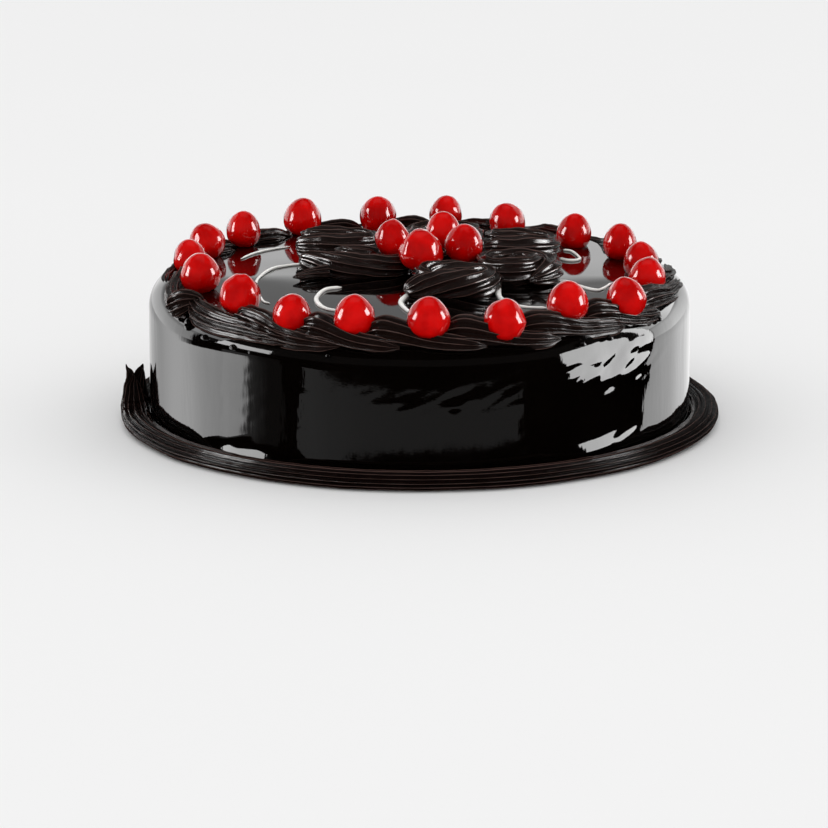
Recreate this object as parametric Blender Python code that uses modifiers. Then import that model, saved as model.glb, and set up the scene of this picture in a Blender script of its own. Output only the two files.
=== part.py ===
"""Truffle cherry cake, about 8 inches across.

A glazed round cake with a piped bead round its foot, a piped border draped over its rim with a
glace cherry at each joint, six piped rosettes round a low dollop, and four cherries on top.
Sizes are in millimetres, and every mesh is made in metres.
"""
import math

import bmesh
import bpy
from mathutils import Matrix, Vector

MM = 0.001
UP = Vector((0.0, 0.0, 1.0))

# Cake
CAKE_RADIUS = 101.6
CAKE_HEIGHT = 55.0
SHOULDER = 10.0
SHOULDER_START = CAKE_RADIUS - SHOULDER
CAKE_STEPS = 40
SHOULDER_STEPS = 5

# Clearances between separate pieces
GAP = 0.3
CHERRY_GAP = 0.6
FILM = 0.6
SEAT = 1.3
DISH_RADIUS = 9.3
DISH_SLOPE = 1.5

# Bead round the foot
BEAD_RADIUS = 107.4
BEAD_HALF_WIDTH = 5.6
BEAD_HALF_HEIGHT = 4.9
BEAD_FLUTES = 8
BEAD_FLUTE_DEPTH = 0.16
BEAD_STATIONS = 48
BEAD_SEAM_DEG = 180.0
BEAD_HORN_DEG = (0.5, 0.9, 1.5, 2.4, 4.0)
BEAD_HORN_HEIGHT = (19.0, 15.5, 11.0, 7.5, BEAD_HALF_HEIGHT)
BEAD_HORN_SCALE = (0.08, 0.30, 0.62, 0.90, 1.0)

# Border on the rim, in distances along the glaze from where the shoulder starts
BORDER_MIDDLE = 1.0
BORDER_HALF_WIDTH = 8.0
BORDER_HEIGHT = 5.2
BORDER_RIDGES = 4
BORDER_RIDGE_DEPTH = 0.20
BORDER_ROUNDNESS = 0.7
LEAST_WIDTH = 0.88
LEAST_HEIGHT = 0.45
SWELL_LEAD = 0.75
SWELL_FULLNESS = 0.8
JOINT_STATIONS_DEG = (2.4, 5.2)
BORDER_UNDER = (2, 3, 4, 6)
SEAM_DEG = 209.0
SEAM_SPREAD_DEG = 7.0
SEAM_FLARE = 3.5

# Ring cherries: angle from +X in degrees, distance from the middle, height of the centre
CHERRY_WIDTH = 15.0
CHERRY_HEIGHT = 15.8
RING_CHERRIES = (
    (4, 83.5, 58.2), (23, 83, 59.5), (42, 80, 59.0), (65, 80, 59.3), (83, 85, 59.6),
    (101, 84, 59.8), (121, 88, 60.4), (142, 86, 60.2), (157, 88, 59.5), (173, 87, 58.2),
    (194, 84, 59.6), (222, 88, 60.6), (240, 92, 57.8), (255, 91, 59.4), (272, 92.5, 59.8),
    (289, 93, 57.9), (307, 89, 60.6), (323, 94, 58.7), (346, 87, 58.4),
)
# Centre cherries: x, y and height of the centre
CENTRE_CHERRIES = ((-10.0, 7.5, 66.3), (0.5, -6.5, 65.9), (9.0, 19.0, 66.9), (16.5, 1.0, 66.2))
CHERRY_SEGMENTS = 8
CHERRY_RINGS = 6
CHERRY_TAPER = 0.14
CHERRY_LEAN_DEG = 9.0
LEAN_STEP = 2.4
LEAN_TURN_DEG = 137.5

# Rosettes and the dollop between them
GROUP_CENTRE = (5.5, 8.0)
GROUP_RADIUS = 35.5
ROSETTE_DEG = (280, 334, 28, 84, 150, 210)
ROSETTE_RADIUS = (20.0, 17.0, 17.5, 19.0, 19.5, 20.0)
ROSETTE_HEIGHT = 10.2
ROSETTE_SIDES = 24
ROSETTE_RINGS = 7
ROSETTE_TURNS = 2.0
ROSETTE_GROOVE = 0.34
ROSETTE_LAST_RING = 0.966
DOME_CROWN = 3.0
DOME_EDGE = 0.55
DOLLOP_RADIUS = 15.0
DOLLOP_HEIGHT = 4.6


def clear_scene():
    for item in list(bpy.data.objects):
        bpy.data.objects.remove(item, do_unlink=True)


def make_material(name, colour, roughness):
    material = bpy.data.materials.new(name)
    material.use_nodes = True
    shader = material.node_tree.nodes["Principled BSDF"]
    shader.inputs["Base Color"].default_value = (*colour, 1.0)
    shader.inputs["Roughness"].default_value = roughness
    shader.inputs["Metallic"].default_value = 0.0
    material.diffuse_color = (*colour, 1.0)
    return material


def add_object(name, mesh, material, collection):
    mesh.materials.append(material)
    item = bpy.data.objects.new(name, mesh)
    collection.objects.link(item)
    return item


def take_object(item, name, material, collection):
    """Name an object that an operator made, and move it to the parts' collection."""
    item.name = name
    item.data.name = name
    item.data.materials.append(material)
    for home in list(item.users_collection):
        home.objects.unlink(item)
    collection.objects.link(item)
    return item


def loft(name, sections, closed):
    """A mesh through sections of equal count, either closed on itself or capped at both ends."""
    mesh = bpy.data.meshes.new(name)
    work = bmesh.new()
    rows = [[work.verts.new(Vector(point) * MM) for point in section] for section in sections]
    count = len(rows[0])
    last = len(rows) if closed else len(rows) - 1
    for i in range(last):
        here, ahead = rows[i], rows[(i + 1) % len(rows)]
        for j in range(count):
            k = (j + 1) % count
            work.faces.new((here[j], here[k], ahead[k], ahead[j]))
    if not closed:
        work.faces.new(rows[0][::-1])
        work.faces.new(rows[-1])
    bmesh.ops.recalc_face_normals(work, faces=work.faces)
    work.to_mesh(mesh)
    work.free()
    return mesh


def polar(radius, angle, height):
    return (radius * math.cos(angle), radius * math.sin(angle), height)


def glaze_point(s):
    """Radius, height and outward normal of the glaze at distance s from the shoulder's start."""
    if s <= 0.0:
        return SHOULDER_START + s, CAKE_HEIGHT, 0.0, 1.0
    turn = s / SHOULDER
    radius = SHOULDER_START + SHOULDER * math.sin(turn)
    height = CAKE_HEIGHT - SHOULDER + SHOULDER * math.cos(turn)
    return radius, height, math.sin(turn), math.cos(turn)


def glaze_under(centre):
    """The point of the glaze under a cherry, and the outward normal there."""
    radius = math.hypot(centre.x, centre.y)
    out = Vector((centre.x, centre.y, 0.0)) / radius
    over = min(max(radius - SHOULDER_START, 0.0), SHOULDER)
    radius, height, lean, rise = glaze_point(SHOULDER * math.asin(over / SHOULDER))
    return out * radius + UP * height, out * lean + UP * rise


def ring_cherry_centres():
    return [Vector(polar(r, math.radians(deg), z)) for deg, r, z in RING_CHERRIES]


def all_cherry_centres():
    return ring_cherry_centres() + [Vector(place) for place in CENTRE_CHERRIES]


def room_under(foot, centres):
    """How thick cream may be at a point of the glaze, so that it stays clear of the cherries."""
    room = math.inf
    for centre in centres:
        beside = math.hypot(foot.x - centre.x, foot.y - centre.y) - DISH_RADIUS
        below = centre.z - CHERRY_HEIGHT / 2 - CHERRY_GAP - foot.z
        room = min(room, max(FILM, below) + DISH_SLOPE * max(beside, 0.0))
    return room


def build_cake(material, collection):
    """The cake is a turned profile, from the top's middle out over the shoulder and down."""
    outline = [(0.0, CAKE_HEIGHT), (SHOULDER_START, CAKE_HEIGHT)]
    for i in range(1, SHOULDER_STEPS + 1):
        radius, height, _, _ = glaze_point(SHOULDER * math.pi / 2 * i / SHOULDER_STEPS)
        outline.append((radius, height))
    outline += [(CAKE_RADIUS, 0.0), (0.0, 0.0)]
    mesh = bpy.data.meshes.new("cake")
    edges = [(i, i + 1) for i in range(len(outline) - 1)]
    mesh.from_pydata([(r * MM, 0.0, z * MM) for r, z in outline], edges, [])
    item = add_object("cake", mesh, material, collection)
    screw = item.modifiers.new("turn", "SCREW")
    screw.steps = CAKE_STEPS
    screw.render_steps = CAKE_STEPS
    screw.use_merge_vertices = True
    screw.merge_threshold = 0.00005


def bead_section(angle, height, scale):
    """A fluted round, flat where it sits on its base and where it leans on the cake."""
    count = BEAD_FLUTES * 2
    points = []
    for k in range(count):
        turn = 2 * math.pi * k / count
        size = scale * (1.0 - BEAD_FLUTE_DEPTH * (k % 2))
        radius = BEAD_RADIUS + size * BEAD_HALF_WIDTH * math.cos(turn)
        level = height + size * BEAD_HALF_HEIGHT * math.sin(turn)
        points.append(polar(max(radius, CAKE_RADIUS + GAP), angle, max(level, 0.0)))
    return points


def build_bead(material, collection):
    """The foot's bead goes once round, and its two ends are drawn up to points at the seam."""
    seam = math.radians(BEAD_SEAM_DEG)
    horn = list(zip(BEAD_HORN_DEG, BEAD_HORN_HEIGHT, BEAD_HORN_SCALE))
    sections = [bead_section(seam + math.radians(d), z, k) for d, z, k in horn]
    start = BEAD_HORN_DEG[-1]
    span = 360.0 - 2 * start
    for i in range(1, BEAD_STATIONS):
        angle = seam + math.radians(start + span * i / BEAD_STATIONS)
        sections.append(bead_section(angle, BEAD_HALF_HEIGHT, 1.0))
    sections += [bead_section(seam - math.radians(d), z, k) for d, z, k in reversed(horn)]
    add_object("base_bead", loft("base_bead", sections, False), material, collection)


def swell(part):
    """Size of the border between two cherries: full soon after one, thin at the next."""
    return math.sin(math.pi * part ** SWELL_LEAD) ** SWELL_FULLNESS if 0.0 < part < 1.0 else 0.0


def border_section(angle, size, flare, centres):
    """Ridged dome that stands on the glaze and dips under every cherry."""
    count = BORDER_RIDGES * 2
    half = BORDER_HALF_WIDTH * (LEAST_WIDTH + (1.0 - LEAST_WIDTH) * size)
    peak = BORDER_HEIGHT * (LEAST_HEIGHT + (1.0 - LEAST_HEIGHT) * size)
    out = Vector(polar(1.0, angle, 0.0))
    points = []
    under = []
    for k in range(count + 1):
        turn = math.pi * k / count
        ridge = 1.0 - BORDER_RIDGE_DEPTH * ((k + 1) % 2)
        across = half * math.cos(turn)
        across += flare * max(math.cos(turn), 0.0)
        radius, height, lean, rise = glaze_point(BORDER_MIDDLE + across)
        foot = out * radius + UP * height
        normal = out * lean + UP * rise
        thick = peak * math.sin(turn) ** BORDER_ROUNDNESS * ridge if 0 < k < count else 0.0
        if thick:
            thick = max(FILM, min(thick, room_under(foot, centres)))
        points.append(foot + normal * (GAP + thick))
        if k in BORDER_UNDER:
            under.append(foot + normal * GAP)
    return [tuple(point) for point in points + under[::-1]]


def build_border(material, collection):
    """The rim's border: one swell from each cherry to the next, and a splayed seam."""
    centres = ring_cherry_centres()
    joints = sorted([entry[0] for entry in RING_CHERRIES] + [SEAM_DEG])
    sections = []
    for i, start in enumerate(joints):
        end = joints[(i + 1) % len(joints)]
        end += 360.0 if end <= start else 0.0
        after = [start + step for step in JOINT_STATIONS_DEG]
        before = [end - step for step in reversed(JOINT_STATIONS_DEG)]
        for degrees in [start, *after, (start + end) / 2, *before]:
            part = (degrees - start) / (end - start)
            off_seam = (degrees % 360.0 - SEAM_DEG) / SEAM_SPREAD_DEG
            flare = SEAM_FLARE * math.exp(-off_seam ** 2)
            sections.append(border_section(math.radians(degrees), swell(part), flare, centres))
    add_object("top_border", loft("top_border", sections, True), material, collection)


def heap_places():
    """Middle and radius of each rosette, and last of the dollop between them."""
    places = []
    for deg, radius in zip(ROSETTE_DEG, ROSETTE_RADIUS):
        turn = math.radians(deg)
        x = GROUP_CENTRE[0] + GROUP_RADIUS * math.cos(turn)
        y = GROUP_CENTRE[1] + GROUP_RADIUS * math.sin(turn)
        places.append((Vector((x, y)), radius))
    places.append((Vector(GROUP_CENTRE), DOLLOP_RADIUS))
    return places


def spread(index, angle, places):
    """A heap spreads to its own radius, or until it meets a neighbour."""
    middle, radius = places[index]
    way = Vector((math.cos(angle), math.sin(angle)))
    reach = radius
    for other, (place, size) in enumerate(places):
        if other == index:
            continue
        apart = place - middle
        share = apart.length * radius / (radius + size) - GAP / 2
        toward = way.dot(apart.normalized())
        if toward > 0.0:
            reach = min(reach, share / toward)
    return reach


def build_heap(name, index, places, peak, groove, centres, material, collection):
    """A piped heap: rings of points from the middle out, with a spiral groove on its dome."""
    middle = places[index][0]
    floor = CAKE_HEIGHT + GAP
    mesh = bpy.data.meshes.new(name)
    work = bmesh.new()

    def top_point(reach, turn, part):
        flat = middle + Vector((math.cos(turn), math.sin(turn))) * reach * part
        foot = Vector((flat.x, flat.y, floor))
        wave = 0.5 - 0.5 * math.cos(turn - 2 * math.pi * ROSETTE_TURNS * part)
        thick = peak * (1.0 - part ** DOME_CROWN) ** DOME_EDGE * (1.0 - groove * wave)
        return foot + UP * max(FILM, min(thick, room_under(foot, centres)))

    centre = work.verts.new(top_point(0.0, 0.0, 0.0) * MM)
    turns = [2 * math.pi * k / ROSETTE_SIDES for k in range(ROSETTE_SIDES)]
    reaches = [spread(index, turn, places) for turn in turns]
    rows = []
    for i in range(1, ROSETTE_RINGS + 1):
        part = ROSETTE_LAST_RING * i / ROSETTE_RINGS
        rows.append([work.verts.new(top_point(r, t, part) * MM) for r, t in zip(reaches, turns)])
    edge = []
    for reach, turn in zip(reaches, turns):
        flat = middle + Vector((math.cos(turn), math.sin(turn))) * reach
        edge.append(work.verts.new(Vector((flat.x, flat.y, floor)) * MM))
    rows.append(edge)
    for j in range(ROSETTE_SIDES):
        k = (j + 1) % ROSETTE_SIDES
        work.faces.new((centre, rows[0][j], rows[0][k]))
        for here, out in zip(rows, rows[1:]):
            work.faces.new((here[j], out[j], out[k], here[k]))
    work.faces.new(edge[::-1])
    bmesh.ops.recalc_face_normals(work, faces=work.faces)
    work.to_mesh(mesh)
    work.free()
    add_object(name, mesh, material, collection)


def build_cherry(name, centre, order, material, collection):
    """An egg-shaped cherry, leaning a little, pressed flat where it meets the glaze."""
    bpy.ops.mesh.primitive_uv_sphere_add(segments=CHERRY_SEGMENTS, ring_count=CHERRY_RINGS, radius=1.0)
    item = take_object(bpy.context.active_object, name, material, collection)
    lean = math.radians(CHERRY_LEAN_DEG * (0.5 + 0.5 * math.sin(LEAN_STEP * order)))
    way = math.radians(LEAN_TURN_DEG * order)
    tilt = Matrix.Rotation(lean, 3, Vector((math.cos(way), math.sin(way), 0.0)))
    foot, normal = glaze_under(centre)
    for vert in item.data.vertices:
        narrow = 1.0 - CHERRY_TAPER * max(vert.co.z, 0.0)
        side = CHERRY_WIDTH / 2 * narrow
        local = Vector((vert.co.x * side, vert.co.y * side, vert.co.z * CHERRY_HEIGHT / 2))
        point = centre + tilt @ local
        sunk = SEAT - (point - foot).dot(normal)
        if sunk > 0.0:
            point += normal * sunk
        vert.co = (point - centre) * MM
    item.location = centre * MM


def main():
    clear_scene()
    parts = bpy.data.collections.new("truffle_cherry_cake")
    bpy.context.scene.collection.children.link(parts)
    glaze = make_material("glaze", (0.012, 0.007, 0.006), 0.06)
    piping = make_material("piping", (0.030, 0.014, 0.012), 0.35)
    cherry = make_material("cherry", (0.600, 0.008, 0.010), 0.12)

    build_cake(glaze, parts)
    build_bead(piping, parts)
    build_border(piping, parts)
    centres = all_cherry_centres()
    places = heap_places()
    for index in range(len(ROSETTE_DEG)):
        name = "rosette_%d" % (index + 1)
        build_heap(name, index, places, ROSETTE_HEIGHT, ROSETTE_GROOVE, centres, piping, parts)
    last = len(places) - 1
    build_heap("centre_dollop", last, places, DOLLOP_HEIGHT, 0.0, centres, piping, parts)
    for order, centre in enumerate(ring_cherry_centres()):
        build_cherry("ring_cherry_%02d" % (order + 1), centre, order, cherry, parts)
    for order, place in enumerate(CENTRE_CHERRIES):
        build_cherry("centre_cherry_%d" % (order + 1), Vector(place), order, cherry, parts)


main()
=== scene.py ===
"""Looks of a glazed truffle cherry cake: mirror glaze, piped truffle cream and glace cherries."""

import math

import bpy
import numpy as np
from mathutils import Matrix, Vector, noise


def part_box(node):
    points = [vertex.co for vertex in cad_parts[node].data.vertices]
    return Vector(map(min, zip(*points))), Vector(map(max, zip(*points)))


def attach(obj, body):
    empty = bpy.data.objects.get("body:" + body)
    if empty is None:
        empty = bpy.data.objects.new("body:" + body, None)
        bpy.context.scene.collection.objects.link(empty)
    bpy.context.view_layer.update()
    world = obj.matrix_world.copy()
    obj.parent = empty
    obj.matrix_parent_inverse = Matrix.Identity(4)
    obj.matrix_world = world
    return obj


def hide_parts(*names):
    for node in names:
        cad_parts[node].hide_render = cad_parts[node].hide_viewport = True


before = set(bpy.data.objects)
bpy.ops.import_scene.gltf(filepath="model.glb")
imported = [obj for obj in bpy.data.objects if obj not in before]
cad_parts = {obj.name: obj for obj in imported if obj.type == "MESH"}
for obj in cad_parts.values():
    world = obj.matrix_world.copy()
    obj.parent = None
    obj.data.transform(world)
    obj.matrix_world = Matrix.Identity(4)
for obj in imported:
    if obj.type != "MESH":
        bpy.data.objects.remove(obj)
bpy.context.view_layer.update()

MM = 0.001
TURN = 2 * math.pi


def nodes_named(start):
    return sorted(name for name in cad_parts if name.startswith(start))


# The cake, from the frame
CAKE_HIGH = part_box("cake")[1]
CAKE_RADIUS = CAKE_HIGH.x
GLAZE_TOP = CAKE_HIGH.z
SHOULDER = 10 * MM
SHOULDER_START = CAKE_RADIUS - SHOULDER
RING_CHERRIES = nodes_named("ring_cherry")
CENTRE_CHERRIES = nodes_named("centre_cherry")
ROSETTES = nodes_named("rosette")

# Glaze
GLAZE_SEGMENTS = 640
GLAZE_WALL_ROWS = 46
GLAZE_SHOULDER_ROWS = 12
GLAZE_TOP_ROWS = 40
TOP_RIPPLE, TOP_RIPPLE_SIZE = 0.10 * MM, 30 * MM

# How far its top falls from the middle to the rim, and how much further in front, with the shares
# of the way out and of the way forward over which that comes in
DOME = 0.9 * MM
FRONT_SLUMP = 2.2 * MM
SLUMP_OUT = (0.28, 1.0)
SLUMP_FORWARD = (0.0, 0.55)

# Waves of its wall: their size across and upwards, and how far they stand out in mm
BROAD_SIZE, BROAD_RISE, BROAD_PUSH = 34 * MM, 45 * MM, 0.32
FOLD_SIZE, FOLD_RISE, FOLD_PUSH = 12 * MM, 50 * MM, 0.12

# Tears in its skin, which slant: their size along and across the slant, and the small ones' share
TEAR_SLANT = 0.35
TEAR_LONG, TEAR_WIDE = 10.5 * MM, 4.2 * MM
SMALL_TEAR_LONG, SMALL_TEAR_WIDE = 5.0 * MM, 2.0 * MM
SMALL_TEARS = 0.28

# Places where the glaze gathered: angle, height, half width in degrees, half height, amount in mm
SWELLINGS = (
    (318, 51, 9, 7, -1.5),
    (306, 48.5, 7, 7, -1.0),
    (313, 44, 6, 7, -0.9),
    (312, 58, 22, 8, 1.2),
    (320, 22, 7, 8, 0.55),
    (232, 56, 13, 9, 1.5),
    (231, -1, 12, 8, 3.9),
    (307, 6.5, 5, 4, 0.55),
    (314, 8.5, 5, 4, 0.55),
    (321, 11, 4.5, 4, 0.5),
    (277, 31, 1.6, 2.0, 0.16),
    (305, 18, 10, 14, -0.3),
)

# Places where its skin is torn, in the same terms
TORN = (
    (314, 40, 11, 8, 0.85),
    (315, 10, 9, 5, 0.25),
    (232, 26, 6, 14, 0.20),
    (294.5, 22, 4, 16, 0.12),
    (243.5, 22, 3, 16, 0.10),
    (228, 8, 12, 4, 0.13),
    (285, 33, 30, 7, 0.07),
)


# ---------------------------------------------------------------- node trees as expressions

class Value:
    """A socket, on which arithmetic adds Math nodes to its tree."""

    def __init__(self, graph, socket):
        self.graph = graph
        self.socket = socket

    def math(self, operation, *others):
        return self.graph.math(operation, self, *others)

    def __add__(self, other):
        return self.math("ADD", other)

    def __sub__(self, other):
        return self.math("SUBTRACT", other)

    def __rsub__(self, other):
        return self.graph.math("SUBTRACT", other, self)

    def __mul__(self, other):
        return self.math("MULTIPLY", other)

    def __truediv__(self, other):
        return self.math("DIVIDE", other)

    def __rtruediv__(self, other):
        return self.graph.math("DIVIDE", other, self)

    def __pow__(self, other):
        return self.math("POWER", other)

    __radd__ = __add__
    __rmul__ = __mul__


class Graph:
    """A node tree that is written as expressions."""

    def __init__(self, tree):
        self.tree = tree

    def plug(self, socket, value):
        if isinstance(value, Value):
            self.tree.links.new(value.socket, socket)
        else:
            socket.default_value = value

    def add(self, kind, settings=None, sockets=None, out=0):
        """Add a node: its settings first, then the values or links of its sockets. Gives one output."""
        node = self.tree.nodes.new(kind)
        for name, value in (settings or {}).items():
            setattr(node, name, value)
        for name, value in (sockets or {}).items():
            self.plug(node.inputs[name], value)
        return Value(self, node.outputs[out]) if node.outputs else None

    def math(self, operation, *values):
        return self.add("ShaderNodeMath", {"operation": operation}, dict(enumerate(values)))

    def scale(self, vector, factor):
        return self.add("ShaderNodeVectorMath", {"operation": "SCALE"}, {0: vector, "Scale": factor})

    def join(self, x, y, z):
        return self.add("ShaderNodeCombineXYZ", {}, {0: x, 1: y, 2: z})

    def split(self, vector):
        """The three numbers of a vector."""
        first = self.add("ShaderNodeSeparateXYZ", {}, {0: vector})
        return [Value(self, output) for output in first.socket.node.outputs]

    def clamp(self, value):
        return self.add("ShaderNodeClamp", {}, {0: value})

    def step(self, value, low, high):
        """A smooth rise from 0 to 1 while value goes from low to high."""
        settings = {"interpolation_type": "SMOOTHSTEP", "clamp": True}
        return self.add("ShaderNodeMapRange", settings, {0: value, 1: low, 2: high})

    def mix(self, factor, first, second):
        """Mix of two colours."""
        sockets = {0: factor, 6: first, 7: second}
        return self.add("ShaderNodeMix", {"data_type": "RGBA"}, sockets, out=2)

    def noise(self, place, scale, detail=2.0, rough=0.5):
        """Noise from 0 to 1; scale is how many waves there are to a metre."""
        sockets = {"Vector": place, "Scale": scale, "Detail": detail, "Roughness": rough}
        return self.add("ShaderNodeTexNoise", {"noise_dimensions": "3D"}, sockets)

    def bump(self, height, distance, normal=None):
        sockets = {"Height": height, "Distance": distance, "Strength": 1.0}
        if normal is not None:
            sockets["Normal"] = normal
        return self.add("ShaderNodeBump", {}, sockets)

    def attribute(self, name):
        return self.add("ShaderNodeAttribute", {"attribute_name": name}, {}, "Fac")


class GeometryGraph(Graph):
    """A Geometry Nodes tree with named inputs, which ends in one geometry."""

    def __init__(self, name):
        super().__init__(bpy.data.node_groups.new(name, "GeometryNodeTree"))
        self.tree.interface.new_socket("Geometry", in_out="OUTPUT", socket_type="NodeSocketGeometry")
        self.entry = self.tree.nodes.new("NodeGroupInput")

    def input(self, name, kind, value=None):
        socket = self.tree.interface.new_socket(name, in_out="INPUT", socket_type="NodeSocket" + kind)
        if value is not None:
            socket.default_value = value
        return Value(self, self.entry.outputs[name])

    def named(self, name, kind="FLOAT"):
        return self.add("GeometryNodeInputNamedAttribute", {"data_type": kind}, {"Name": name})

    def store(self, geometry, name, value):
        settings = {"data_type": "FLOAT", "domain": "POINT"}
        sockets = {"Geometry": geometry, "Name": name, "Value": value}
        return self.add("GeometryNodeStoreNamedAttribute", settings, sockets)

    def place(self, geometry, position=None, offset=None):
        sockets = {"Geometry": geometry}
        if position is not None:
            sockets["Position"] = position
        if offset is not None:
            sockets["Offset"] = offset
        return self.add("GeometryNodeSetPosition", {}, sockets)

    def uneven(self, geometry, size, amount):
        """Push a surface in and out along its normal, in dents of about the given size."""
        here = self.add("GeometryNodeInputPosition")
        normal = self.add("GeometryNodeInputNormal")
        dents = self.noise(here, 1.0 / size) - 0.5
        return self.place(geometry, offset=self.scale(normal, dents * amount * 2.0))

    def finish(self, geometry, material):
        shaded = self.add("GeometryNodeSetShadeSmooth", {}, {"Geometry": geometry})
        plain = self.add("GeometryNodeRealizeInstances", {}, {"Geometry": shaded})
        done = self.add("GeometryNodeSetMaterial", {}, {"Geometry": plain, "Material": material})
        self.add("NodeGroupOutput", {}, {"Geometry": done})


# ---------------------------------------------------------------- meshes

def new_mesh(name, points, edges=(), faces=(), values=None):
    """An object with its place in its mesh, and numbers stored on its points."""
    mesh = bpy.data.meshes.new(name)
    mesh.from_pydata([tuple(point) for point in points], list(edges), list(faces))
    for key, numbers in (values or {}).items():
        kind = "FLOAT_VECTOR" if np.ndim(numbers[0]) else "FLOAT"
        layer = mesh.attributes.new(key, kind, "POINT")
        layer.data.foreach_set("vector" if kind == "FLOAT_VECTOR" else "value", np.ravel(numbers))
    item = bpy.data.objects.new(name, mesh)
    bpy.context.scene.collection.objects.link(item)
    return item


def grow(item, graph, **inputs):
    """Run a Geometry Nodes tree on an object, and keep the result as its plain mesh."""
    modifier = item.modifiers.new(graph.tree.name, "NODES")
    modifier.node_group = graph.tree
    for entry in graph.tree.interface.items_tree:
        key = entry.name.lower().replace(" ", "_")
        if entry.in_out == "INPUT" and key in inputs:
            modifier[entry.identifier] = inputs[key]
    item.update_tag()
    depsgraph = bpy.context.evaluated_depsgraph_get()
    made = item.evaluated_get(depsgraph)
    mesh = bpy.data.meshes.new_from_object(made, preserve_all_data_layers=True, depsgraph=depsgraph)
    guide = item.data
    item.modifiers.remove(modifier)
    item.data = mesh
    mesh.name = item.name
    bpy.data.meshes.remove(guide)
    mesh.materials.clear()
    mesh.materials.append(inputs["material"])
    mesh.polygons.foreach_set("material_index", [0] * len(mesh.polygons))
    return item


def wave(x, y, z):
    """Smooth noise, from about -1 to 1, whose waves are about 1 long."""
    return noise.noise(Vector((x, y, z)))


def ease(value, low, high):
    """A smooth rise from 0 to 1 while value goes from low to high."""
    t = min(max((value - low) / (high - low), 0.0), 1.0)
    return t * t * (3.0 - 2.0 * t)


def catmull(points, steps):
    """Points of a smooth curve through the given rows of numbers, steps to each stretch."""
    rows = np.array(points, float)
    ends = np.vstack([2 * rows[0] - rows[1], rows, 2 * rows[-1] - rows[-2]])
    out = []
    for i in range(len(rows) - 1):
        a, b, c, d = ends[i:i + 4]
        for t in np.arange(steps) / steps:
            out.append(0.5 * (2 * b + (c - a) * t + (2 * a - 5 * b + 4 * c - d) * t ** 2
                              + (3 * b - a - 3 * c + d) * t ** 3))
    out.append(rows[-1])
    return np.array(out)


def glaze_point(s):
    """Radius, height and outward normal of the plain glaze at distance s from the shoulder's start."""
    if s <= 0.0:
        return SHOULDER_START + s, GLAZE_TOP, 0.0, 1.0
    turn = min(s / SHOULDER, math.pi / 2)
    below = max(s - SHOULDER * math.pi / 2, 0.0)
    radius = SHOULDER_START + SHOULDER * math.sin(turn)
    height = GLAZE_TOP - SHOULDER + SHOULDER * math.cos(turn) - below
    return radius, height, math.sin(turn), math.cos(turn)


def top_sag(x, y):
    """How far the glaze on top lies below its middle: a low dome that slumps more in front."""
    out = min(math.hypot(x, y) / SHOULDER_START, 1.0)
    front = ease(-y / SHOULDER_START, *SLUMP_FORWARD)
    return DOME * out ** 2 + FRONT_SLUMP * ease(out, *SLUMP_OUT) * front


def over_glaze(deg, s, lift):
    """A point that stands lift above the glaze, at an angle and a distance over the shoulder."""
    radius, height, lean, rise = glaze_point(s)
    turn = math.radians(deg)
    out = radius + lean * lift
    return (out * math.cos(turn), out * math.sin(turn), height + rise * lift)


# ---------------------------------------------------------------- materials

def new_material(name, **constants):
    """A material and its graph, with constants set on the shader's own sockets."""
    material = bpy.data.materials.new(name)
    material.use_nodes = True
    shader = material.node_tree.nodes["Principled BSDF"]
    for key, value in constants.items():
        shader.inputs[key.replace("_", " ").title().replace("Ior", "IOR")].default_value = value
    return material, Graph(material.node_tree), shader


def glaze_material():
    material, g, shader = new_material("mirror_glaze", ior=1.5, specular_ior_level=0.5)
    place = g.add("ShaderNodeTexCoord", out="Object")
    drawn_down = g.add("ShaderNodeMapping", {}, {"Vector": place, "Scale": (1.0, 1.0, 0.18)})
    on_wall = g.step(g.split(place)[2], GLAZE_TOP - SHOULDER / 2, GLAZE_TOP - SHOULDER)
    cloud = g.noise(place, 40.0, 3.0)
    streak = g.noise(drawn_down, 160.0, 3.0, 0.55)
    speck = g.noise(place, 1400.0, 2.0)
    g.plug(shader.inputs["Base Color"], g.mix(cloud, (0.0006, 0.0004, 0.0003, 1),
                                              (0.0022, 0.0013, 0.0010, 1)))
    g.plug(shader.inputs["Roughness"], 0.02 + 0.04 * g.step(cloud, 0.35, 0.75))
    streaked = g.bump(streak * on_wall, 0.1 * MM)
    g.plug(shader.inputs["Normal"], g.bump(speck, 0.004 * MM, streaked))
    return material


def piping_material(name, shade, crest_highlight):
    """Truffle cream. The first number darkens all of it, as its own tone and as painted shade for a
    piece in shade; the second lightens its ridge crests as a painted highlight.
    """
    material, g, shader = new_material(name, ior=1.48, specular_ior_level=0.5)
    place = g.add("ShaderNodeTexCoord", out="Object")
    ridge = g.clamp(g.attribute("ridge"))
    cloud = g.noise(place, 90.0, 3.0)
    grain = g.noise(place, 900.0, 3.0, 0.6)
    # the nozzle's drag, in long streaks: about 17 mm along the rope and half a facet round it
    drawn = g.join(g.attribute("along") * 60.0, g.attribute("around") * 1.6, 0.0)
    drag = g.noise(drawn, 1.0, 3.0, 0.6)
    # mask along the ridge crests, where the painted highlight goes
    edge = g.step(ridge, 0.78, 1.0)
    darkest, dark = (tuple(shade * part for part in colour) + (1,)
                     for colour in ((0.0090, 0.0040, 0.0030), (0.0190, 0.0086, 0.0066)))
    cream = g.mix(cloud, darkest, dark)
    # ridge crests mixed towards a light brown: a painted highlight, not the cream's own colour
    g.plug(shader.inputs["Base Color"], g.mix(edge * crest_highlight, cream, (0.125, 0.074, 0.064, 1)))
    g.plug(shader.inputs["Roughness"], 0.14 + 0.12 * cloud + 0.05 * drag)
    g.plug(shader.inputs["Normal"], g.bump(grain, 0.02 * MM, g.bump(drag, 0.08 * MM)))
    return material


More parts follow.
